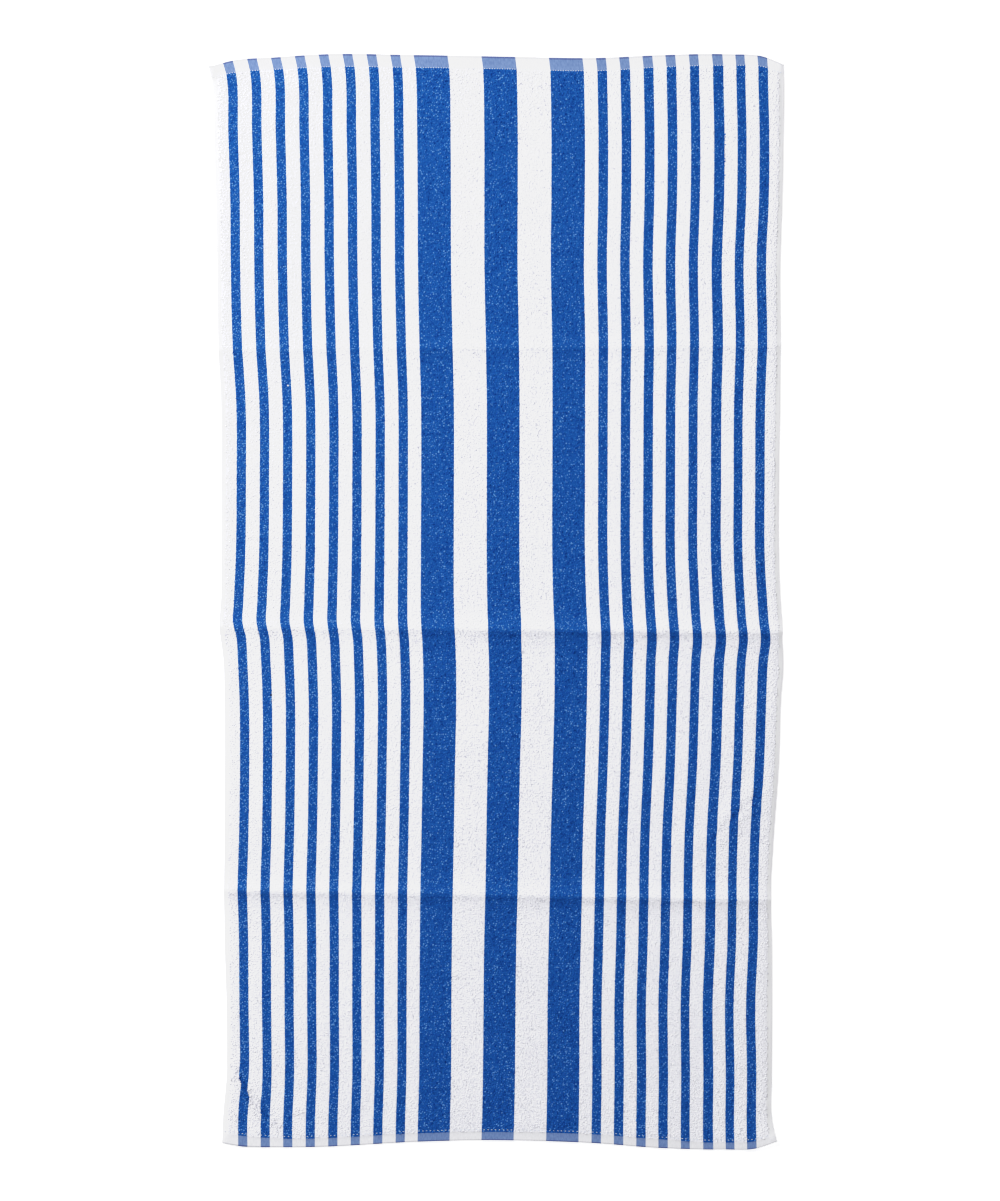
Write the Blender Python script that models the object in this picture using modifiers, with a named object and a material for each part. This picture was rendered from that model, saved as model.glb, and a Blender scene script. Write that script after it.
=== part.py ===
"""Striped terry beach towel, laid out flat after being kept folded in quarters.

One cut length of cloth. Its long edges are flat-woven selvages, and its two ends are
flat-woven hems, turned and sewn down, so cloth and hems are one sheet. The solid is that
sheet with its uneven outline and the three ridges that the folds left across it.
+X runs across the towel and +Y along it. The underside of the flat panels is at Z = 0,
and the origin is under the middle of the box that the towel fills.
"""

from collections import namedtuple

import bmesh
import bpy
import numpy as np

# Cloth, in metres
WIDTH = 0.762
LENGTH = 1.496
TERRY_THICKNESS = 0.003
FLAT_WEAVE_THICKNESS = 0.0018
SELVAGE = 0.006
TOP_HEM = 0.017
BOTTOM_HEM = 0.014

# Where the edges and the middle of the cloth lie, section by section from the top end down
Section = namedtuple("Section", "along left middle right")
SECTIONS = (
    Section(0.748, -0.390, 0.001, 0.383),
    Section(0.719, -0.385, 0.002, 0.384),
    Section(0.554, -0.382, 0.003, 0.383),
    Section(0.359, -0.380, 0.005, 0.382),
    Section(0.176, -0.377, 0.006, 0.381),
    Section(0.067, -0.378, 0.006, 0.382),
    Section(0.006, -0.379, 0.007, 0.385),
    Section(-0.027, -0.381, 0.008, 0.387),
    Section(-0.069, -0.376, 0.009, 0.389),
    Section(-0.124, -0.375, 0.009, 0.386),
    Section(-0.317, -0.376, 0.005, 0.377),
    Section(-0.456, -0.377, 0.002, 0.376),
    Section(-0.651, -0.376, 0.000, 0.377),
    Section(-0.714, -0.381, -0.001, 0.378),
    Section(-0.748, -0.382, -0.002, 0.384),
)

# How far each end falls short of the full length, from left to right
End = namedtuple("End", "across top bottom")
ENDS = (
    End(-0.385, 0.016, 0.010),
    End(-0.360, 0.009, 0.005),
    End(-0.300, 0.004, 0.003),
    End(-0.235, 0.000, 0.004),
    End(-0.110, 0.001, 0.011),
    End(0.000, 0.003, 0.013),
    End(0.130, 0.005, 0.009),
    End(0.225, 0.001, 0.002),
    End(0.310, 0.000, 0.000),
    End(0.355, 0.003, 0.002),
    End(0.385, 0.015, 0.013),
)
END_FADE = 0.200

# The ridges that the folds left: place, rise to the right, height at each side and flank
Ridge = namedtuple("Ridge", "along slant left_height right_height flank")
RIDGES = (
    Ridge(0.355, 0.006, 0.003, 0.003, 0.032),
    Ridge(-0.027, -0.006, 0.006, 0.008, 0.042),
    Ridge(-0.392, -0.014, 0.007, 0.005, 0.038),
)
RIDGE_SWELL = 0.12
RIDGE_SWELLS_ACROSS = 3.5
CREST_ROUNDING = 0.06
SLANT_FADE = 0.090

# Corners of the hems that stand a little off the surface
Corner = namedtuple("Corner", "side end lift spread")
CORNERS = (
    Corner(-1, 1, 0.0030, 0.060),
    Corner(1, 1, 0.0015, 0.045),
    Corner(-1, -1, 0.0025, 0.050),
    Corner(1, -1, 0.0050, 0.070),
)

# Spacing of the sheet's rows and columns
RIDGE_ROWS = (0.08, 0.18, 0.34, 0.60, 1.00)
WIDEST_ROW = 0.055
WIDEST_COLUMN = 0.036
CORNER_COLUMNS = (0.345, 0.362)
EDGE_STEP = 0.0015


def smooth(at, places, values):
    """The smooth curve through values at places, read at any number of points."""
    places, values = np.array(places), np.array(values)
    order = np.argsort(places)
    places, values = places[order], values[order]
    slopes = np.gradient(values, places)
    at = np.clip(at, places[0], places[-1])
    low = np.clip(np.searchsorted(places, at) - 1, 0, len(places) - 2)
    gap = places[low + 1] - places[low]
    part = (at - places[low]) / gap
    rest = 1 - part
    start = rest**2 * ((1 + 2 * part) * values[low] + part * gap * slopes[low])
    finish = part**2 * ((1 + 2 * rest) * values[low + 1] - rest * gap * slopes[low + 1])
    return start + finish


def column(rows, name):
    """One named column of a table."""
    return [getattr(row, name) for row in rows]


def filled(stations, widest):
    """The stations in order, with every wider gap cut into equal steps."""
    stations = sorted(stations)
    steps = []
    for low, high in zip(stations, stations[1:]):
        count = int(np.ceil((high - low) / widest))
        steps += [low + (high - low) * step / count for step in range(count)]
    return np.array(steps + [stations[-1]])


def column_places():
    """Places across the flat cloth, close together where the corners turn down, with a
    narrow step from each selvage up to the terry."""
    edge = WIDTH / 2
    inner = edge - SELVAGE
    half = [*CORNER_COLUMNS, inner - EDGE_STEP, inner, edge]
    return filled([-station for station in half] + half, WIDEST_COLUMN)


def row_places():
    """Places along the cloth: hems, ridges with their flanks, and the panels between."""
    end = LENGTH / 2
    stations = [end, end - TOP_HEM, end - TOP_HEM - EDGE_STEP]
    stations += [-end, BOTTOM_HEM - end, BOTTOM_HEM + EDGE_STEP - end]
    for ridge in RIDGES:
        stations.append(ridge.along)
        for share in RIDGE_ROWS:
            stations += [ridge.along - share * ridge.flank, ridge.along + share * ridge.flank]
    return filled(stations, WIDEST_ROW)


def is_terry(across, along):
    """Whether a point of the cloth has pile, and not the flat weave of a hem or a selvage."""
    tiny = 1e-6
    inside_selvages = abs(across) < WIDTH / 2 - SELVAGE - tiny
    below_top = along < LENGTH / 2 - TOP_HEM - tiny
    above_bottom = along > BOTTOM_HEM - LENGTH / 2 + tiny
    return inside_selvages and below_top and above_bottom


def ridge_height(ridge, share, along):
    """Height of one ridge: steepest at its crest, and level at the end of its flanks."""
    height = ridge.left_height + (ridge.right_height - ridge.left_height) * (share + 1) / 2
    height *= 1 + RIDGE_SWELL * np.sin(RIDGE_SWELLS_ACROSS * share + ridge.along)
    away = abs(along - ridge.along) / ridge.flank
    away = np.hypot(away, CREST_ROUNDING) - CREST_ROUNDING
    return height * max(0.0, 1 - away) ** 2


def place(across, along):
    """Where a point of the flat cloth lies."""
    share = across / (WIDTH / 2)
    left, middle, right = (
        smooth(along, column(SECTIONS, "along"), column(SECTIONS, name))
        for name in ("left", "middle", "right")
    )
    x = middle + share * (right - left) / 2 + share**2 * ((left + right) / 2 - middle)
    y = along
    z = 0.0
    for ridge in RIDGES:
        near = max(0.0, 1 - abs(along - ridge.along) / SLANT_FADE)
        y += ridge.slant / 2 * share * near
        z += ridge_height(ridge, share, along)
    end = "top" if along > 0 else "bottom"
    shortfall = smooth(x, column(ENDS, "across"), column(ENDS, end))
    fade = max(0.0, 1 - (LENGTH / 2 - abs(along)) / END_FADE) ** 2
    y -= np.sign(along) * shortfall * fade
    for corner in CORNERS:
        gap = np.hypot(across - corner.side * WIDTH / 2, along - corner.end * LENGTH / 2)
        z += corner.lift * max(0.0, 1 - gap / corner.spread) ** 2
    return x, y, z


def cloth_mesh(name):
    """The underside of the cloth as an open sheet, with its terry marked for thickness."""
    columns, rows = column_places(), row_places()
    sheet = bmesh.new()
    across_steps, along_steps = len(columns) - 1, len(rows) - 1
    bmesh.ops.create_grid(sheet, x_segments=across_steps, y_segments=along_steps, size=1.0)
    terry = sheet.verts.layers.deform.verify()
    for vertex in sheet.verts:
        across = columns[round((vertex.co.x + 1) / 2 * across_steps)]
        along = rows[round((vertex.co.y + 1) / 2 * along_steps)]
        vertex.co = place(across, along)
        vertex[terry][0] = float(is_terry(across, along))
    mesh = bpy.data.meshes.new(name)
    sheet.to_mesh(mesh)
    sheet.free()
    return mesh


def centre_over_origin(mesh):
    """Moves the sheet so that the origin is under the middle of the box it fills."""
    places = np.array([vertex.co[:] for vertex in mesh.vertices])
    middle = (places.min(0) + places.max(0)) / 2
    for vertex in mesh.vertices:
        vertex.co.x -= middle[0]
        vertex.co.y -= middle[1]


def cotton_material():
    """Blue cotton terry, matt and soft."""
    material = bpy.data.materials.new("blue_cotton_terry")
    material.use_nodes = True
    shader = material.node_tree.nodes["Principled BSDF"]
    shader.inputs["Base Color"].default_value = (0.019, 0.109, 0.413, 1)
    shader.inputs["Roughness"].default_value = 0.95
    shader.inputs["Metallic"].default_value = 0.0
    return material


def add_towel(collection):
    """The towel: its sheet, thickened upwards so that the panels stay flat on the surface."""
    mesh = cloth_mesh("towel")
    centre_over_origin(mesh)
    mesh.materials.append(cotton_material())
    towel = bpy.data.objects.new("towel", mesh)
    collection.objects.link(towel)
    terry = towel.vertex_groups.new(name="terry")
    body = towel.modifiers.new("cloth thickness", "SOLIDIFY")
    body.thickness = TERRY_THICKNESS
    body.offset = 1.0
    body.use_even_offset = True
    body.vertex_group = terry.name
    body.thickness_vertex_group = FLAT_WEAVE_THICKNESS / TERRY_THICKNESS
    return towel


for leftover in list(bpy.data.objects):
    bpy.data.objects.remove(leftover)
towel_parts = bpy.data.collections.new("beach_towel")
bpy.context.scene.collection.children.link(towel_parts)
add_towel(towel_parts)
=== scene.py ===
"""A striped cotton beach towel, laid out flat, with the ridges that folding left across it.

The file follows the towel as it is made and laid out: the woven cloth with its hems and
selvages, the terry loops that stand on it, the thread that holds the hems, and last the
surface, the light and the camera. Lengths are in metres.
"""

import math
from collections import namedtuple

import bpy
import numpy as np
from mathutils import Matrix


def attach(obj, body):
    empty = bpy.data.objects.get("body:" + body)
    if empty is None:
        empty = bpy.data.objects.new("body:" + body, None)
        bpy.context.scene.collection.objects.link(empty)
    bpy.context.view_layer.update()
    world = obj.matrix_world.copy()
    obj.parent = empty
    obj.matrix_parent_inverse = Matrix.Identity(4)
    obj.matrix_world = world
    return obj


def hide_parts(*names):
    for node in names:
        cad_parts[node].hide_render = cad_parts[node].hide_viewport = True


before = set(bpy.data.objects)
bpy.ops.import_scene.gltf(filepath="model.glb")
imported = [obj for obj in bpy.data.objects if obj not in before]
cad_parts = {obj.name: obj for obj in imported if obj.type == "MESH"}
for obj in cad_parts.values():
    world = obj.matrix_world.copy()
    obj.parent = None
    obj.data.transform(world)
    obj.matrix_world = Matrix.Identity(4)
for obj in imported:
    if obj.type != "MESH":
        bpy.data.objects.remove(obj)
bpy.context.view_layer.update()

# ---------------------------------------------------------------------------------------
# The cloth. One cut length of cotton, woven with blue and white warp, so that the stripes
# run its whole length. Its long edges are flat-woven selvages. Each end is woven flat too,
# turned under twice and sewn down as a hem. The rest is terry.
# ---------------------------------------------------------------------------------------

CLOTH_WIDTH = 0.762
CLOTH_LENGTH = 1.496
HALF_LENGTH = CLOTH_LENGTH / 2
SELVAGE = 0.006
GROUND_THICKNESS = 0.0021  # lower loops and ground weave, under the upper loops
HEM_THICKNESS = 0.0018
SELVAGE_THICKNESS = 0.0014

# The warp: three wide blue stripes in the middle, and on either side a run of white and blue
# in turn, from the middle out. The yarns crowd a little here and there
WIDE_STRIPE = 0.045
LEFT_WHITE = (0.0180, 0.0187, 0.0187, 0.0187, 0.0187, 0.0187, 0.0187, 0.0187)
LEFT_BLUE = (0.0130, 0.0130, 0.0130, 0.0130, 0.0130, 0.0130, 0.0130, 0.0130)
RIGHT_WHITE = (0.0180, 0.0179, 0.0180, 0.0175, 0.0182, 0.0185, 0.0173, 0.0174)
RIGHT_BLUE = (0.0131, 0.0131, 0.0132, 0.0131, 0.0125, 0.0140, 0.0122, 0.0131)


def side_edges(white, blue):
    """How far from the middle the narrow blue stripes of one side start and end."""
    return 2.5 * WIDE_STRIPE + np.cumsum(np.ravel(list(zip(white, blue))))


wide_edges = (np.arange(6) - 2.5) * WIDE_STRIPE
left_edges, right_edges = -side_edges(LEFT_WHITE, LEFT_BLUE), side_edges(RIGHT_WHITE, RIGHT_BLUE)
stripe_edges = np.sort(np.concatenate([left_edges, wide_edges, right_edges]))
border = (CLOTH_WIDTH - np.ptp(stripe_edges)) / 2
left_edge, right_edge = stripe_edges[0] - border, stripe_edges[-1] + border

# Where the edges, the outer stripes and the middle of the cloth lie, from the top end down
Section = namedtuple("Section", "along left left_stripe middle right_stripe right")
SECTIONS = (
    Section(0.748, -0.390, -0.369, 0.001, 0.362, 0.383),
    Section(0.719, -0.385, -0.365, 0.002, 0.362, 0.384),
    Section(0.647, -0.384, -0.364, 0.003, 0.364, 0.384),
    Section(0.554, -0.382, -0.362, 0.003, 0.364, 0.383),
    Section(0.473, -0.381, -0.362, 0.003, 0.361, 0.381),
    Section(0.359, -0.380, -0.360, 0.005, 0.363, 0.382),
    Section(0.284, -0.377, -0.356, 0.006, 0.361, 0.382),
    Section(0.176, -0.377, -0.356, 0.006, 0.361, 0.381),
    Section(0.067, -0.378, -0.358, 0.006, 0.362, 0.382),
    Section(0.006, -0.379, -0.361, 0.007, 0.366, 0.385),
    Section(-0.020, -0.381, -0.362, 0.008, 0.368, 0.387),
    Section(-0.036, -0.380, -0.358, 0.008, 0.370, 0.387),
    Section(-0.069, -0.376, -0.356, 0.009, 0.367, 0.389),
    Section(-0.124, -0.375, -0.354, 0.009, 0.365, 0.386),
    Section(-0.207, -0.375, -0.354, 0.007, 0.363, 0.384),
    Section(-0.317, -0.376, -0.356, 0.005, 0.357, 0.377),
    Section(-0.379, -0.377, -0.358, 0.004, 0.356, 0.374),
    Section(-0.456, -0.377, -0.357, 0.002, 0.356, 0.376),
    Section(-0.539, -0.375, -0.357, 0.001, 0.353, 0.377),
    Section(-0.651, -0.376, -0.357, 0.000, 0.355, 0.377),
    Section(-0.714, -0.381, -0.360, -0.001, 0.355, 0.378),
    Section(-0.748, -0.382, -0.360, -0.002, 0.356, 0.384),
)

# How far each end falls short of the full length, and how deep its hem is
End = namedtuple("End", "across top bottom top_hem bottom_hem")
ENDS = (
    End(-0.385, 0.016, 0.010, 0.018, 0.016),
    End(-0.360, 0.009, 0.005, 0.018, 0.016),
    End(-0.300, 0.004, 0.003, 0.017, 0.013),
    End(-0.235, 0.000, 0.004, 0.017, 0.013),
    End(-0.110, 0.001, 0.011, 0.017, 0.014),
    End(0.000, 0.003, 0.013, 0.017, 0.014),
    End(0.130, 0.005, 0.009, 0.018, 0.014),
    End(0.225, 0.001, 0.002, 0.016, 0.013),
    End(0.310, 0.000, 0.000, 0.015, 0.010),
    End(0.355, 0.003, 0.002, 0.014, 0.011),
    End(0.385, 0.015, 0.013, 0.014, 0.011),
)
END_FADE = 0.200
TOP_HEM = 0.017
HEM_SHEAR = 0.0016  # how far the top hem was pulled to the left as it was sewn

# The ridges that the folds left across it, from the top end down
Ridge = namedtuple("Ridge", "along slant left_height right_height flank")
RIDGES = (
    Ridge(0.355, 0.006, 0.0023, 0.0022, 0.036),
    Ridge(-0.027, -0.006, 0.0048, 0.0058, 0.046),
    Ridge(-0.392, -0.014, 0.0054, 0.0042, 0.042),
)
RIDGE_SWELL = 0.12
RIDGE_SWELLS_ACROSS = 3.5
CREST_ROUNDING = 0.05
PINCH_SHARE = 0.15  # the crest itself is pinched up, over a quarter of the flank
PINCH_REACH = 0.25
SLANT_FADE = 0.090

# Corners of the hems that stand a little off the surface
Corner = namedtuple("Corner", "side end lift spread")
CORNERS = (
    Corner(-1, 1, 0.0030, 0.060),
    Corner(1, 1, 0.0015, 0.045),
    Corner(-1, -1, 0.0025, 0.050),
    Corner(1, -1, 0.0050, 0.070),
)

# Small creases, each a soft swell with a groove along it: where it starts and ends on the
# surface, its height, the half width of its groove, and how far it draws the cloth in
Crease = namedtuple("Crease", "from_x from_y to_x to_y height width pull")
CREASES = (
    Crease(-0.3740, -0.6240, -0.3220, -0.7060, 0.0030, 0.0045, 0.0027),
    Crease(-0.3760, -0.6950, -0.3570, -0.7080, 0.0014, 0.0020, 0.0003),
    Crease(-0.3160, -0.7030, -0.3000, -0.7200, 0.0016, 0.0025, 0.0006),
    Crease(-0.2830, -0.6920, -0.2660, -0.7010, 0.0014, 0.0025, 0.0003),
    Crease(-0.3460, -0.7230, -0.3290, -0.7300, 0.0012, 0.0020, 0.0),
    Crease(-0.2490, -0.6950, -0.2350, -0.7020, 0.0010, 0.0020, 0.0),
    Crease(0.3660, -0.2400, 0.2900, -0.3180, 0.0022, 0.0050, 0.0010),
    Crease(0.3720, -0.6640, 0.3590, -0.7010, 0.0018, 0.0030, 0.0006),
    Crease(0.3430, -0.7120, 0.3300, -0.7340, 0.0016, 0.0030, 0.0003),
    Crease(-0.3740, 0.0920, -0.2960, 0.0910, 0.0010, 0.0040, 0.0),
    Crease(-0.2240, -0.5490, -0.1120, -0.5520, 0.0009, 0.0050, 0.0),
    Crease(-0.0800, -0.5100, -0.0460, -0.5140, 0.0008, 0.0040, 0.0),
)
SWELL_WIDTH = 3.0
GROOVE_SHARE = 0.85
CREASE_TAPER = 0.7

# Slow waves of the cloth on the surface: wavelengths, direction, start and height
Wave = namedtuple("Wave", "length heading start height")
WAVES = (
    Wave(0.230, 1.20, 0.4, 0.00035),
    Wave(0.150, 0.30, 2.1, 0.00025),
    Wave(0.095, 2.20, 4.0, 0.00018),
    Wave(0.061, 0.85, 1.0, 0.00012),
    Wave(0.038, 1.75, 5.2, 0.00008),
)


def column(rows, name):
    """One named column of a table."""
    return np.array([getattr(row, name) for row in rows])


def smooth(at, places, values):
    """The smooth curve through values at places, read at every point of at."""
    order = np.argsort(places)
    places, values = places[order], values[order]
    slopes = np.gradient(values, places)
    at = np.clip(at, places[0], places[-1])
    low = np.clip(np.searchsorted(places, at) - 1, 0, len(places) - 2)
    gap = places[low + 1] - places[low]
    part = (at - places[low]) / gap
    rest = 1 - part
    start = rest**2 * ((1 + 2 * part) * values[low] + part * gap * slopes[low])
    finish = part**2 * ((1 + 2 * rest) * values[low + 1] - rest * gap * slopes[low + 1])
    return start + finish


def laid_across(across, along):
    """Where each point lies from side to side."""
    left, left_stripe, middle, right_stripe, right = (
        smooth(along, column(SECTIONS, "along"), column(SECTIONS, name))
        for name in Section._fields[1:]
    )
    last = np.where(across < 0, -stripe_edges[0], stripe_edges[-1])
    stripe = np.where(across < 0, left_stripe, right_stripe)
    edge = np.where(across < 0, left, right)
    inner = np.clip(abs(across) / last, 0, 1)
    outer = np.clip((abs(across) - last) / border, 0, 1)
    hem_share = np.clip(1 - (HALF_LENGTH - along) / TOP_HEM, 0, 1)
    sheared = HEM_SHEAR * hem_share * (1 - outer)
    return middle + inner * (stripe - middle) + outer * (edge - stripe) - sheared


def end_drop(x, along):
    """How far the uneven ends pull each point in, fading away from the end."""
    top = smooth(x, column(ENDS, "across"), column(ENDS, "top"))
    bottom = smooth(x, column(ENDS, "across"), column(ENDS, "bottom"))
    fade = np.clip(1 - (HALF_LENGTH - abs(along)) / END_FADE, 0, 1) ** 2
    return np.where(along > 0, -top, bottom) * fade


def ridge_height(ridge, share, along):
    """Height of one ridge: steepest at its crest, and level at the end of its flanks."""
    height = ridge.left_height + (ridge.right_height - ridge.left_height) * (share + 1) / 2
    height = height * (1 + RIDGE_SWELL * np.sin(RIDGE_SWELLS_ACROSS * share + ridge.along))
    away = abs(along - ridge.along) / ridge.flank
    away = np.hypot(away, CREST_ROUNDING) - CREST_ROUNDING
    swell = np.clip(1 - away, 0, 1) ** 3
    pinch = np.clip(1 - away / PINCH_REACH, 0, 1) ** 2
    return height * (swell + PINCH_SHARE * (pinch - swell))


def beside_crease(crease, x, y):
    """The way a crease runs, how deep it is beside each point, and how far off it lies."""
    run = np.array([crease.to_x - crease.from_x, crease.to_y - crease.from_y])
    length = math.hypot(*run)
    run /= length
    ahead = ((x - crease.from_x) * run[0] + (y - crease.from_y) * run[1]) / length
    aside = (x - crease.from_x) * run[1] - (y - crease.from_y) * run[0]
    depth = crease.height * np.sin(np.pi * np.clip(ahead, 0, 1)) ** CREASE_TAPER
    return run, depth, aside / crease.width


def crease_lift(crease, x, y):
    """Height of one small crease, and how far it draws each point in, along x and y."""
    run, depth, aside = beside_crease(crease, x, y)
    swell = np.exp(-((aside / SWELL_WIDTH) ** 2))
    groove = np.exp(-(aside**2))
    drawn = crease.pull * depth / crease.height * np.tanh(aside) * swell
    return depth * (swell - GROOVE_SHARE * groove), -drawn * run[1], drawn * run[0]


def groove_depth(x, y):
    """How deep the grooves of the small creases are at each point."""
    grooves = np.zeros_like(x)
    for crease in CREASES:
        _, depth, aside = beside_crease(crease, x, y)
        grooves = np.maximum(grooves, depth * np.exp(-(aside**2)))
    return grooves


def lie(across, along):
    """Where points of the flat cloth lie on the surface, as rows of x, y and z."""
    share = across / (CLOTH_WIDTH / 2)
    x = laid_across(across, along)
    y = along + end_drop(x, along)
    z = np.zeros_like(x)
    for ridge in RIDGES:
        near = np.clip(1 - abs(along - ridge.along) / SLANT_FADE, 0, 1)
        y = y + ridge.slant / 2 * share * near
        z = z + ridge_height(ridge, share, along)
    for crease in CREASES:
        lift, to_x, to_y = crease_lift(crease, x, y)
        x, y, z = x + to_x, y + to_y, z + lift
    for corner in CORNERS:
        side = left_edge if corner.side < 0 else right_edge
        gap = np.hypot(across - side, along - corner.end * HALF_LENGTH)
        z = z + corner.lift * np.clip(1 - gap / corner.spread, 0, 1) ** 2
    for wave in WAVES:
        ahead = x * math.cos(wave.heading) + y * math.sin(wave.heading)
        z = z + wave.height * (1 + np.sin(2 * np.pi * ahead / wave.length + wave.start))
    return np.stack([x, y, z], axis=-1)


def evenly(stations, widest):
    """The stations in order, with every wider gap cut into equal steps."""
    stations = sorted(stations)
    steps = []
    for low, high in zip(stations, stations[1:]):
        count = math.ceil((high - low) / widest)
        steps += [low + (high - low) * step / count for step in range(count)]
    return np.array(steps + [stations[-1]])


ROW_GAP = 0.0070
COLUMN_GAP = 0.0068
EDGE_ROUNDING = (0.0003, 0.0010)
EDGE_SHARE = 0.12  # thickness left at the very edge
TERRY_STEP = 0.0012
CREST_ROWS = (0.02, 0.05, 0.09, 0.14, 0.20)
MEAN_HEM = 0.015
HEM_FADE = 0.050
FOLD = 0.0024

stations = [left_edge, right_edge, *stripe_edges]
for inset in (*EDGE_ROUNDING, SELVAGE, SELVAGE + TERRY_STEP):
    stations += [left_edge + inset, right_edge - inset]
columns = evenly(stations, COLUMN_GAP)
stations = [-HALF_LENGTH, HALF_LENGTH]
for inset in (*EDGE_ROUNDING, FOLD, MEAN_HEM, MEAN_HEM + TERRY_STEP):
    stations += [inset - HALF_LENGTH, HALF_LENGTH - inset]
for ridge in RIDGES:
    stations.append(ridge.along)
    for part in CREST_ROWS:
        stations += [ridge.along - part * ridge.flank, ridge.along + part * ridge.flank]
rows = evenly(stations, ROW_GAP)


def hem_depth(across, along):
    """How deep the hem is at each place across, at the end that is nearer."""
    top = smooth(across, column(ENDS, "across"), column(ENDS, "top_hem"))
    bottom = smooth(across, column(ENDS, "across"), column(ENDS, "bottom_hem"))
    return np.where(along > 0, top, bottom)


def from_hem(across, along):
    """How far each point lies inside the sewn edge of its hem: less than zero in the hem."""
    return HALF_LENGTH - abs(along) - hem_depth(across, along)


def from_side(across):
    """How far each point lies inside the nearer long edge."""
    return np.minimum(across - left_edge, right_edge - across)


def thickness_share(across, along):
    """Thickness of the cloth as a share of the ground's: rounded off at its outer edges."""
    in_selvage = np.clip((SELVAGE + TERRY_STEP - from_side(across)) / TERRY_STEP, 0, 1)
    share = 1 + (SELVAGE_THICKNESS / GROUND_THICKNESS - 1) * in_selvage
    in_hem = np.clip(1 - from_hem(across, along) / TERRY_STEP, 0, 1)
    share = share + (HEM_THICKNESS / GROUND_THICKNESS - share) * in_hem
    to_edge = np.minimum(from_side(across), HALF_LENGTH - abs(along))
    return share * np.sqrt(np.clip(EDGE_SHARE + to_edge / EDGE_ROUNDING[1], 0, 1))


bpy.ops.object.select_all(action="DESELECT")
bpy.ops.mesh.primitive_grid_add(
    x_subdivisions=len(columns) - 1, y_subdivisions=len(rows) - 1, size=2
)
cloth = bpy.context.object
cloth.name = "towel_cloth"
grid_places = np.array([vertex.co[:] for vertex in cloth.data.vertices])
flat_across = columns[np.rint((grid_places[:, 0] + 1) / 2 * (len(columns) - 1)).astype(int)]
flat_along = rows[np.rint((grid_places[:, 1] + 1) / 2 * (len(rows) - 1)).astype(int)]

# One row of the grid follows the sewn edge of each hem, and the rows beside it make way
to_end = HALF_LENGTH - abs(flat_along)
deeper = hem_depth(flat_across, flat_along) - MEAN_HEM
fade = np.minimum(to_end / MEAN_HEM, 1 - (to_end - MEAN_HEM) / HEM_FADE)
flat_along = flat_along - np.sign(flat_along) * deeper * np.clip(fade, 0, 1)

laid = lie(flat_across, flat_along)
middle_shift = (laid.max(0) + laid.min(0)) / 2
middle_shift[2] = 0
laid -= middle_shift
cloth.data.vertices.foreach_set("co", laid.ravel())
flat_map = cloth.data.uv_layers[0]
flat_map.name = "flat_cloth"
corners = np.zeros(len(cloth.data.loops), int)
cloth.data.loops.foreach_get("vertex_index", corners)
flat_map.data.foreach_set("uv", np.stack([flat_across, flat_along], -1)[corners].ravel())
share = thickness_share(flat_across, flat_along)
fullness = cloth.vertex_groups.new(name="fullness")
for index, value in enumerate(share):
    fullness.add([index], float(min(value, 1)), "REPLACE")
body = cloth.modifiers.new("thickness", "SOLIDIFY")
body.thickness = GROUND_THICKNESS
body.offset = 1.0
body.vertex_group = fullness.name
bpy.ops.object.modifier_apply(modifier=body.name)
bpy.ops.object.shade_smooth_by_angle(angle=math.radians(50))


def linear(hex_colour):
    """An sRGB hex colour as linear red, green, blue and alpha."""
    parts = [int(hex_colour[place : place + 2], 16) / 255 for place in (1, 3, 5)]
    parts = [p / 12.92 if p <= 0.04045 else ((p + 0.055) / 1.055) ** 2.4 for p in parts]
    return (*parts, 1.0)


def add_node(tree, kind, inputs=None, **settings):
    """Adds a node, with its settings, and its inputs as values or as links from outputs."""
    made = tree.nodes.new("ShaderNode" + kind)
    for name, value in settings.items():
        setattr(made, name, value)
    for socket, value in (inputs or {}).items():
        if isinstance(value, bpy.types.NodeSocket):
            tree.links.new(value, made.inputs[socket])
        else:
            made.inputs[socket].default_value = value
    return made


WARP_GAP = 0.0016  # real yarns lie 0.6 mm apart: drawn coarser, so that they show
SELVAGE_RIB = 0.0042
YARN_ROUGHNESS = 0.95
COTTON_IOR = 1.53
COTTON_GLOSS = 0.15


def woven_cotton(name, dark, light, cell, depth, stretch=(1, 1, 1)):
    """Matt woven cotton: its yarns shade from dark to light in cells of a real size."""
    material = bpy.data.materials.new(name)
    material.use_nodes = True
    tree = material.node_tree
    shader = tree.nodes["Principled BSDF"]
    flat = add_node(tree, "UVMap", uv_map="flat_cloth").outputs["UV"]
    yarns = add_node(tree, "Mapping", {"Vector": flat, "Scale": stretch}).outputs["Vector"]
    noise = {"Vector": yarns, "Scale": 1 / cell, "Detail": 2.0, "Roughness": 0.6}
    shade = add_node(tree, "TexNoise", noise).outputs["Fac"]
    spread = add_node(tree, "MapRange", {"Value": shade, "From Min": 0.3, "From Max": 0.7})
    share = spread.outputs["Result"]
    colours = {0: share, 6: linear(dark), 7: linear(light)}
    colour = add_node(tree, "Mix", colours, data_type="RGBA").outputs[2]
    relief = {"Height": share, "Strength": 0.6, "Distance": depth}
    bump = add_node(tree, "Bump", relief).outputs["Normal"]
    tree.links.new(colour, shader.inputs["Base Color"])
    tree.links.new(bump, shader.inputs["Normal"])
    shader.inputs["Roughness"].default_value = YARN_ROUGHNESS
    shader.inputs["IOR"].default_value = COTTON_IOR
    shader.inputs["Specular IOR Level"].default_value = COTTON_GLOSS
    return material


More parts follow.
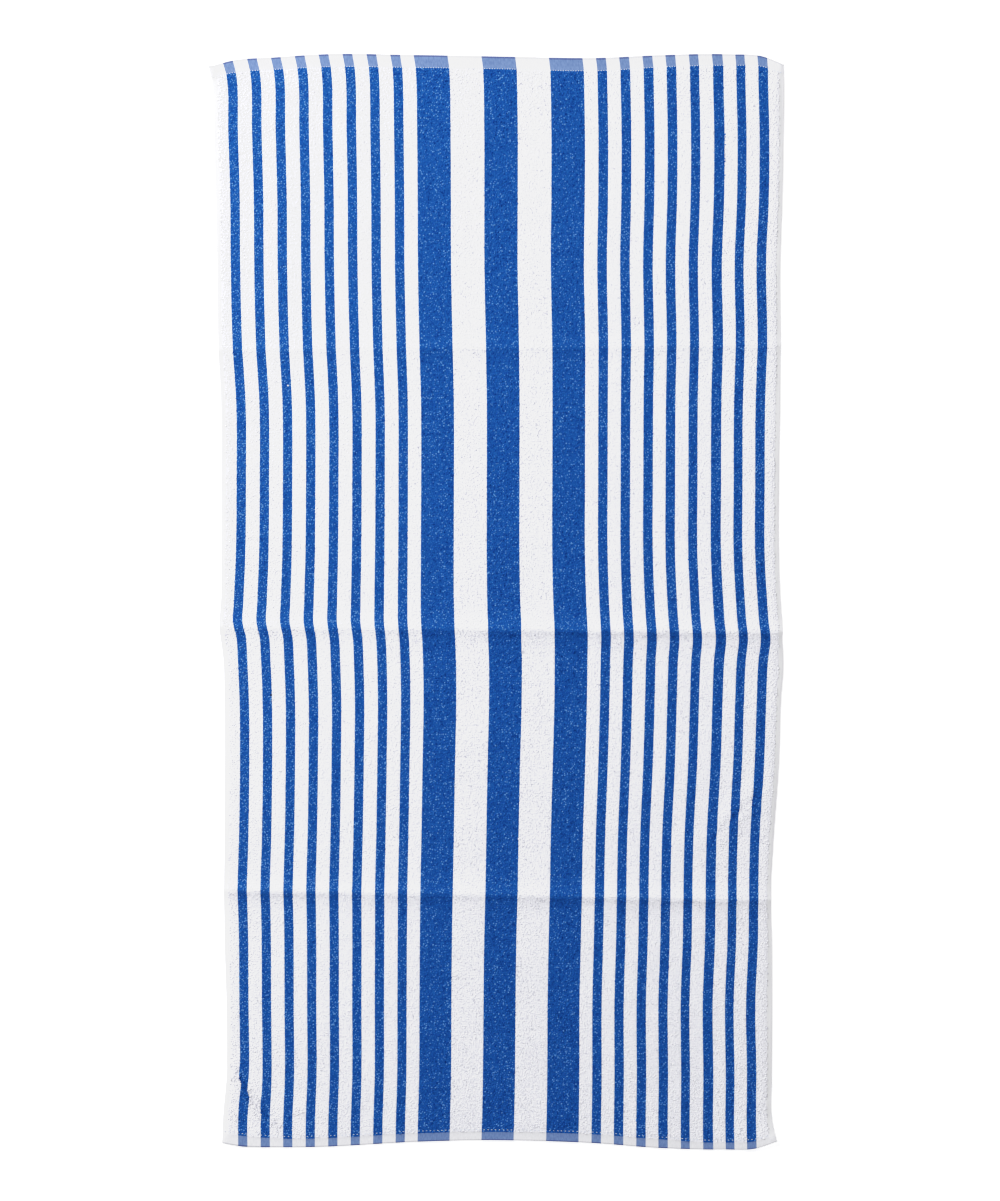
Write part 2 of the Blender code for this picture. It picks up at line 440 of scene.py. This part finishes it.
# Terry ground shows the colour of its loops, and under the blue loops it is darker, a painted shade
# for the gaps between them. Flat weave is half warp and half white weft, so that blue looks paler
# there, and along the fold at each end it is darker, a painted shade on the turned edge.
FLAT_STRETCH = (1, 0.3, 1)
RIB_STRETCH = (1, 0.02, 1)
cloth.data.materials.clear()
for finish in (
    woven_cotton("white_terry_ground", "#EDEDF4", "#F6F6FB", 0.0026, 0.0004),
    # the blue ground is blue, and darker than the middle of its loops: a painted shade for the gaps
    # between them
    woven_cotton("blue_terry_ground_with_painted_shade", "#1A4C94", "#2A66A8", 0.0026, 0.0008),
    woven_cotton("white_flat_hem", "#E4E4E8", "#EFEFF3", WARP_GAP, 0.0002, FLAT_STRETCH),
    woven_cotton("blue_and_white_flat_hem", "#677CAA", "#7D92BE", WARP_GAP, 0.0002, FLAT_STRETCH),
    # the two fold finishes are darker: painted shade on the turned edge at each end
    woven_cotton("white_hem_fold_painted_shade", "#CFCFD4", "#DBDBE0", WARP_GAP, 0.0002, FLAT_STRETCH),
    woven_cotton("blue_hem_fold_painted_shade", "#57628E", "#66729C", WARP_GAP, 0.0002, FLAT_STRETCH),
    woven_cotton("ribbed_white_selvage", "#E9E9EC", "#F4F4F6", SELVAGE_RIB, 0.0003, RIB_STRETCH),
):
    cloth.data.materials.append(finish)


def on_blue(across):
    """Whether places across the flat cloth are on blue warp."""
    return np.searchsorted(stripe_edges, across) % 2 == 1


map_places = np.zeros(len(cloth.data.loops) * 2)
cloth.data.uv_layers["flat_cloth"].data.foreach_get("uv", map_places)
face_corners = np.zeros(len(cloth.data.polygons), int)
cloth.data.polygons.foreach_get("loop_total", face_corners)
face_starts = np.cumsum(face_corners) - face_corners
face_places = np.add.reduceat(map_places.reshape(-1, 2), face_starts) / face_corners[:, None]
face_across, face_along = face_places.T
finishes = on_blue(face_across).astype(int)
finishes += 2 * (from_hem(face_across, face_along) < 0)
# faces within the fold at each end take the darker fold finish, a painted shade
finishes += 2 * (HALF_LENGTH - abs(face_along) < FOLD)
finishes = np.where((from_side(face_across) < SELVAGE) & (finishes < 2), 6, finishes)
cloth.data.polygons.foreach_set("material_index", finishes.astype(np.int32))
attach(cloth, "root")
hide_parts("towel")

# ---------------------------------------------------------------------------------------
# Terry loops. Blue and white cotton pile yarn, thrown up in loops by the weave and tumbled
# by washing. Real loops stand about 1.2 mm apart; these are drawn about twice as coarse, so
# that each one shows. They are joined into one mesh for each colour and panel.
# ---------------------------------------------------------------------------------------

LOOP_PITCH_ACROSS = 0.0026
LOOP_PITCH_ALONG = 0.0031
LOOP_LENGTH = 0.0036
LOOP_WIDTH = 0.0024
LOOP_HEIGHT = 0.0011
LOOP_SINK = 0.0006
LOOP_LEAN = 0.0006
FRAY = 0.0002  # how far loops stray over the edge of their stripe
EDGE_INSET = 0.0008
CROSS_TURN = 0.7  # the loops lie more across the cloth than along it, in radians
STITCH_GROOVE = 0.0010
BOTTOM_STITCH_INSET = 0.0035
TOP_STITCH_INSET = 0.0002

rng = np.random.default_rng(12)


def from_stitches(across, along):
    """How far each point lies from the line of stitches at the nearer end."""
    inset = np.where(along > 0, TOP_STITCH_INSET, BOTTOM_STITCH_INSET)
    return abs(from_hem(across, along) - inset)


def loop_feet():
    """Places of the loops on the flat cloth, in rows along the weft, inside hems and selvages."""
    across = np.arange(left_edge + SELVAGE, right_edge - SELVAGE, LOOP_PITCH_ACROSS)
    along = np.arange(-HALF_LENGTH, HALF_LENGTH, LOOP_PITCH_ALONG)
    across, along = (grid.ravel() for grid in np.meshgrid(across, along))
    across = across + rng.uniform(-0.5, 0.5, len(across)) * LOOP_PITCH_ACROSS
    along = along + rng.uniform(-0.4, 0.4, len(along)) * LOOP_PITCH_ALONG
    nearest = stripe_edges[abs(across[:, None] - stripe_edges).argmin(1)]
    off = across - nearest
    across = nearest + np.sign(off) * np.maximum(abs(off), EDGE_INSET)
    inside = (from_hem(across, along) > LOOP_SINK) & (from_side(across) > SELVAGE)
    inside &= from_stitches(across, along) > STITCH_GROOVE
    return across[inside], along[inside]


# How the shade of a loop follows its place: painted light on slopes that face the top end and
# painted shade on slopes that face away and in grooves, as if lit from the top, paler where washing
# has worn the narrow stripes, and paler towards the left edge, a painted light from the top left
PAINTED_SLOPE_LIGHT_AND_SHADE = 0.8
PAINTED_GROOVE_SHADE = 260  # per metre of depth
LOOP_SHADES = 0.5
WORN_NARROW = 0.10
PAINTED_LIGHT_LEFT = 0.14


def wear_and_painted_light(across):
    """How far the pile is paled at places across the cloth: by washing on the narrow stripes, and by
    painted light towards the left edge.
    """
    narrow = abs(across) > 2.5 * WIDE_STRIPE
    return WORN_NARROW * narrow + PAINTED_LIGHT_LEFT * np.clip(across / left_edge, 0, 1)


def loops_mesh(name, across, along, scale=1.0):
    """Loops as small arches: two feet in the ground, and a leaning crown between them."""
    count = len(across)
    step = 0.001
    foot = lie(across, along) - middle_shift
    right = lie(across + step, along) - middle_shift - foot
    ahead = lie(across, along + step) - middle_shift - foot
    up = np.cross(right, ahead)
    up /= np.linalg.norm(up, axis=1, keepdims=True)
    # each loop's own random tone, wear on the narrow stripes, and painted light that grows towards the
    # left edge
    shades = 0.5 + LOOP_SHADES * rng.uniform(-1, 1, count) + wear_and_painted_light(across)
    # painted light and shade: loops on a slope facing the top end are lighter, those facing away
    # darker, as if lit from the top
    shades -= PAINTED_SLOPE_LIGHT_AND_SHADE * ahead[:, 2] / step
    # painted shade: loops in the grooves of the small creases are darker
    shades -= PAINTED_GROOVE_SHADE * groove_depth(foot[:, 0] + middle_shift[0], foot[:, 1] + middle_shift[1])
    turn = rng.normal(0, CROSS_TURN, count)[:, None]
    right /= np.linalg.norm(right, axis=1, keepdims=True)
    reach = right * np.cos(turn) + np.cross(up, right) * np.sin(turn)
    side = np.cross(up, reach)
    size = rng.uniform(0.75, 1.25, count)[:, None] * scale
    lean = side * rng.normal(0, 1, count)[:, None] * LOOP_LEAN
    lean += reach * rng.normal(0, 0.5, count)[:, None] * LOOP_LEAN
    ground = foot + up * GROUND_THICKNESS
    half = reach * LOOP_LENGTH / 2 * size
    points = np.stack([
        ground - half - up * LOOP_SINK,
        ground + half - up * LOOP_SINK,
        ground + lean + up * LOOP_HEIGHT * size,
        ground + side * LOOP_WIDTH / 2 * size,
        ground - side * LOOP_WIDTH / 2 * size,
    ], axis=1)
    faces = np.array([[2, 3, 0], [4, 2, 0], [3, 4, 0], [3, 2, 1], [2, 4, 1], [4, 3, 1]])
    faces = (faces[None] + 5 * np.arange(count)[:, None, None]).reshape(-1, 3)
    mesh = bpy.data.meshes.new(name)
    mesh.from_pydata(points.reshape(-1, 3), [], faces)
    shade = mesh.attributes.new("shade", "FLOAT", "POINT")
    shade.data.foreach_set("value", np.repeat(shades, 5).astype(np.float32))
    mesh.shade_smooth()
    return mesh


MOTTLE_WIDTH = 0.0075
MOTTLE_LENGTH = 0.0050
STREAK_WIDTH = 0.0042
STREAK_LENGTH = 0.060
MOTTLE_SHARE = 1.40
STREAK_SHARE = 0.70


def pile_yarn(name, shades):
    """Matt cotton pile yarn: each loop has its own shade, and the nap lies in soft patches."""
    material = bpy.data.materials.new(name)
    material.use_nodes = True
    tree = material.node_tree
    shader = tree.nodes["Principled BSDF"]
    loop = add_node(tree, "Attribute", attribute_name="shade").outputs["Fac"]
    place = add_node(tree, "TexCoord").outputs["Object"]
    cell = (1 / MOTTLE_WIDTH, 1 / MOTTLE_LENGTH, 1)
    drawn = add_node(tree, "Mapping", {"Vector": place, "Scale": cell}).outputs["Vector"]
    mottle = add_node(tree, "TexNoise", {"Vector": drawn, "Scale": 1.0, "Detail": 3.0})
    cell = (1 / STREAK_WIDTH, 1 / STREAK_LENGTH, 1)
    drawn = add_node(tree, "Mapping", {"Vector": place, "Scale": cell}).outputs["Vector"]
    streak = add_node(tree, "TexNoise", {"Vector": drawn, "Scale": 1.0, "Detail": 1.0})
    sum_of = {0: mottle.outputs["Fac"], 1: MOTTLE_SHARE, 2: loop}
    shade = add_node(tree, "Math", sum_of, operation="MULTIPLY_ADD").outputs[0]
    sum_of = {0: streak.outputs["Fac"], 1: STREAK_SHARE, 2: shade}
    shade = add_node(tree, "Math", sum_of, operation="MULTIPLY_ADD").outputs[0]
    sum_of = {0: shade, 1: (MOTTLE_SHARE + STREAK_SHARE) / 2}
    shade = add_node(tree, "Math", sum_of, operation="SUBTRACT").outputs[0]
    ramp = add_node(tree, "ValToRGB", {"Fac": shade})
    elements = ramp.color_ramp.elements
    elements[0].color = linear(shades[0][1])
    elements[1].color = linear(shades[-1][1])
    for stop, colour in shades[1:-1]:
        elements.new(stop).color = linear(colour)
    tree.links.new(ramp.outputs["Color"], shader.inputs["Base Color"])
    shader.inputs["Roughness"].default_value = YARN_ROUGHNESS
    shader.inputs["IOR"].default_value = COTTON_IOR
    shader.inputs["Specular IOR Level"].default_value = COTTON_GLOSS
    return material


blue_yarn = pile_yarn(
    "blue_cotton_pile_yarn",
    ((0.0, "#174A92"), (0.35, "#2661AE"), (0.75, "#3A75BE"), (1.0, "#6E9CD8")),
)
# the darkest white stop is painted shade, for loops in crease grooves and on slopes facing away from
# the top
white_yarn = pile_yarn(
    "white_cotton_pile_yarn",
    ((0.0, "#D6D6E0"), (0.12, "#EEEEF5"), (0.5, "#F2F2F9"), (1.0, "#F8F8FD")),
)


def add_pile(name, mesh, finish):
    """Adds a mesh of pile to the towel as a piece."""
    piece = bpy.data.objects.new(name, mesh)
    bpy.context.scene.collection.objects.link(piece)
    mesh.materials.append(finish)
    places = np.zeros(len(mesh.vertices) * 3)
    mesh.vertices.foreach_get("co", places)
    plan = places.reshape(-1, 3)[:, :2]
    plan = (plan - plan.min(0)) / np.ptp(plan, axis=0)
    corners = np.zeros(len(mesh.loops), int)
    mesh.loops.foreach_get("vertex_index", corners)
    mesh.uv_layers.new(name="OFBake").data.foreach_set("uv", plan[corners].ravel())
    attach(piece, "root")
    return piece


feet_across, feet_along = loop_feet()
feet_blue = on_blue(feet_across + rng.normal(0, FRAY, len(feet_across)))
panel_edges = [-HALF_LENGTH, *sorted(column(RIDGES, "along")), HALF_LENGTH]
pile = []
for colour, yarn, chosen in (("blue", blue_yarn, feet_blue), ("white", white_yarn, ~feet_blue)):
    for number, (low, high) in enumerate(zip(panel_edges, panel_edges[1:])):
        here = chosen & (feet_along >= low) & (feet_along < high)
        name = f"{colour}_loops_{number + 1}"
        pile.append(add_pile(name, loops_mesh(name, feet_across[here], feet_along[here]), yarn))

# ---------------------------------------------------------------------------------------
# The hem stitches. White cotton thread, lockstitched by machine along the inner edge of each
# hem. At the top end it lies on the flat weave, and at the bottom end it sinks in the pile.
# ---------------------------------------------------------------------------------------

Seam = namedtuple("Seam", "name end inset pitch length width lift")
SEAMS = (
    Seam("top_hem_stitches", 1, TOP_STITCH_INSET, 0.0034, 0.0032, 0.0013, 0.0003),
    Seam("bottom_hem_stitches", -1, BOTTOM_STITCH_INSET, 0.0054, 0.0036, 0.0011, 0.0004),
)
STITCH_HEIGHT = 0.0007


def stitches_mesh(seam):
    """Stitches as small spindles of thread that dip into the cloth at both their ends."""
    middles = np.arange(left_edge + SELVAGE / 2, right_edge - SELVAGE / 2, seam.pitch)
    middles = middles + rng.uniform(-0.06, 0.06, len(middles)) * seam.pitch
    along = seam.end * (HALF_LENGTH - hem_depth(middles, seam.end) - seam.inset)
    level = np.where(seam.end > 0, HEM_THICKNESS, GROUND_THICKNESS) + seam.lift
    middle, low, high = (
        lie(middles + shift * seam.length / 2, along) - middle_shift for shift in (0, -1, 1)
    )
    up = np.array([0.0, 0.0, 1.0])
    reach = (high - low) / np.linalg.norm(high - low, axis=1, keepdims=True)
    side = np.cross(up, reach)
    points = np.stack([
        low + up * (level - STITCH_HEIGHT),
        high + up * (level - STITCH_HEIGHT),
        middle + up * (level + STITCH_HEIGHT / 2),
        middle + up * (level - STITCH_HEIGHT / 2),
        middle + up * level + side * seam.width / 2,
        middle + up * level - side * seam.width / 2,
    ], axis=1)
    faces = np.array([
        [0, 2, 4], [0, 4, 3], [0, 3, 5], [0, 5, 2], [1, 4, 2], [1, 3, 4], [1, 5, 3], [1, 2, 5],
    ])[:, ::-1]
    faces = (faces[None] + 6 * np.arange(len(middles))[:, None, None]).reshape(-1, 3)
    mesh = bpy.data.meshes.new(seam.name)
    mesh.from_pydata(points.reshape(-1, 3), [], faces)
    mesh.shade_smooth()
    return mesh


def sewing_thread():
    """Spun white sewing thread: smoother than the pile, with a fine twist along it."""
    material = bpy.data.materials.new("white_sewing_thread")
    material.use_nodes = True
    tree = material.node_tree
    shader = tree.nodes["Principled BSDF"]
    place = add_node(tree, "TexCoord").outputs["Object"]
    twist = add_node(tree, "TexNoise", {"Vector": place, "Scale": 1 / WARP_GAP, "Detail": 1.0})
    colours = {0: twist.outputs["Fac"], 6: linear("#C9D3EA"), 7: linear("#EEF1F8")}
    colour = add_node(tree, "Mix", colours, data_type="RGBA").outputs[2]
    tree.links.new(colour, shader.inputs["Base Color"])
    shader.inputs["Roughness"].default_value = 0.8
    shader.inputs["IOR"].default_value = COTTON_IOR
    shader.inputs["Specular IOR Level"].default_value = COTTON_GLOSS
    return material


thread = sewing_thread()
pile += [add_pile(seam.name, stitches_mesh(seam), thread) for seam in SEAMS]

# ---------------------------------------------------------------------------------------
# Loose fibre. A few loops that a fold or a needle pulled over the edge of their stripe, and
# a speck of dark lint caught in the pile.
# ---------------------------------------------------------------------------------------

Stray = namedtuple("Stray", "name finish edge aside along count spread scale")
lint = pile_yarn("dark_lint", ((0.0, "#15171D"), (0.5, "#22252E"), (1.0, "#3A3E4A")))
STRAYS = (
    Stray("dark_lint_speck", lint, 3, -0.0010, -0.117, 4, 0.0007, 0.9),
    Stray("pulled_white_loops", white_yarn, 5, -0.0040, 0.305, 3, 0.0008, 1.1),
    Stray("pulled_blue_loops", blue_yarn, 33, 0.0008, 0.600, 9, 0.0500, 1.0),
)
STRAY_WIDTH = 0.0006
for stray in STRAYS:
    across = stripe_edges[stray.edge] + stray.aside + rng.normal(0, STRAY_WIDTH, stray.count)
    along = stray.along + rng.uniform(-1, 1, stray.count) * stray.spread
    pile.append(add_pile(stray.name, loops_mesh(stray.name, across, along, stray.scale), stray.finish))

# ---------------------------------------------------------------------------------------
# The surface it lies on, the light and the camera. A plain white studio floor, one large
# soft light from the top left, and even white light from all around.
# ---------------------------------------------------------------------------------------

bpy.ops.object.select_all(action="DESELECT")
FLOOR_SIDE = 30
FLOOR_DROP = 0.0005
bpy.ops.mesh.primitive_plane_add(size=FLOOR_SIDE, location=(0, 0, -FLOOR_DROP))
floor = bpy.context.object
floor.name = "studio_floor"
floor_paint = bpy.data.materials.new("white_studio_floor")
floor_paint.use_nodes = True
floor_shader = floor_paint.node_tree.nodes["Principled BSDF"]
floor_shader.inputs["Base Color"].default_value = linear("#FAFAFA")
floor_shader.inputs["Roughness"].default_value = 0.9
floor_shader.inputs["Emission Color"].default_value = (1, 1, 1, 1)
floor_shader.inputs["Emission Strength"].default_value = 0.75
floor.data.materials.append(floor_paint)

world = bpy.data.worlds.new("soft_studio_light")
bpy.context.scene.world = world
world.use_nodes = True
world.node_tree.nodes["Background"].inputs["Color"].default_value = (1, 1, 1, 1)
world.node_tree.nodes["Background"].inputs["Strength"].default_value = 0.60

KEY_SIDE = 1.6
bpy.ops.object.light_add(type="AREA", location=(-2.0, 1.7, 1.8))
key = bpy.context.object
key.name = "key_light"
key.data.shape = "RECTANGLE"
key.data.size = KEY_SIDE
key.data.size_y = KEY_SIDE
key.data.energy = 96
aim = -key.location
key.rotation_euler = aim.to_track_quat("-Z", "Y").to_euler()

CAMERA_DISTANCE = 3.5
CAMERA_LEAN = math.radians(3.746)
CAMERA_TARGET = (0.0021, 0.012, 0.0)
FRAME_HEIGHT = 1201
FOCAL_PIXELS = 2568
camera_data = bpy.data.cameras.new("camera")
camera_data.sensor_width = 36
camera_data.lens = FOCAL_PIXELS / FRAME_HEIGHT * camera_data.sensor_width
camera = bpy.data.objects.new("camera", camera_data)
bpy.context.scene.collection.objects.link(camera)
camera.location = (
    CAMERA_TARGET[0],
    CAMERA_TARGET[1] + CAMERA_DISTANCE * math.sin(CAMERA_LEAN),
    CAMERA_DISTANCE * math.cos(CAMERA_LEAN),
)
camera.rotation_euler = (-CAMERA_LEAN, 0, 0)
bpy.context.scene.camera = camera

# The camera's tone curve: it deepens dark colours a little and holds back the whites
TONES = (
    (0.02, 0.0105), (0.05, 0.033), (0.12, 0.098), (0.35, 0.36), (0.60, 0.61),
    (0.75, 0.745), (0.84, 0.820), (0.91, 0.856), (1.04, 0.884), (1.18, 0.905),
)
BRIGHTEST = 1.4
view = bpy.context.scene.view_settings
view.view_transform = "Standard"
view.use_curve_mapping = True
view.curve_mapping.clip_max_x = BRIGHTEST
tone_curve = view.curve_mapping.curves[3]
tone_curve.points[-1].location = (BRIGHTEST, 1.0)
for tone, shown in TONES:
    tone_curve.points.new(tone, shown)
view.curve_mapping.update()
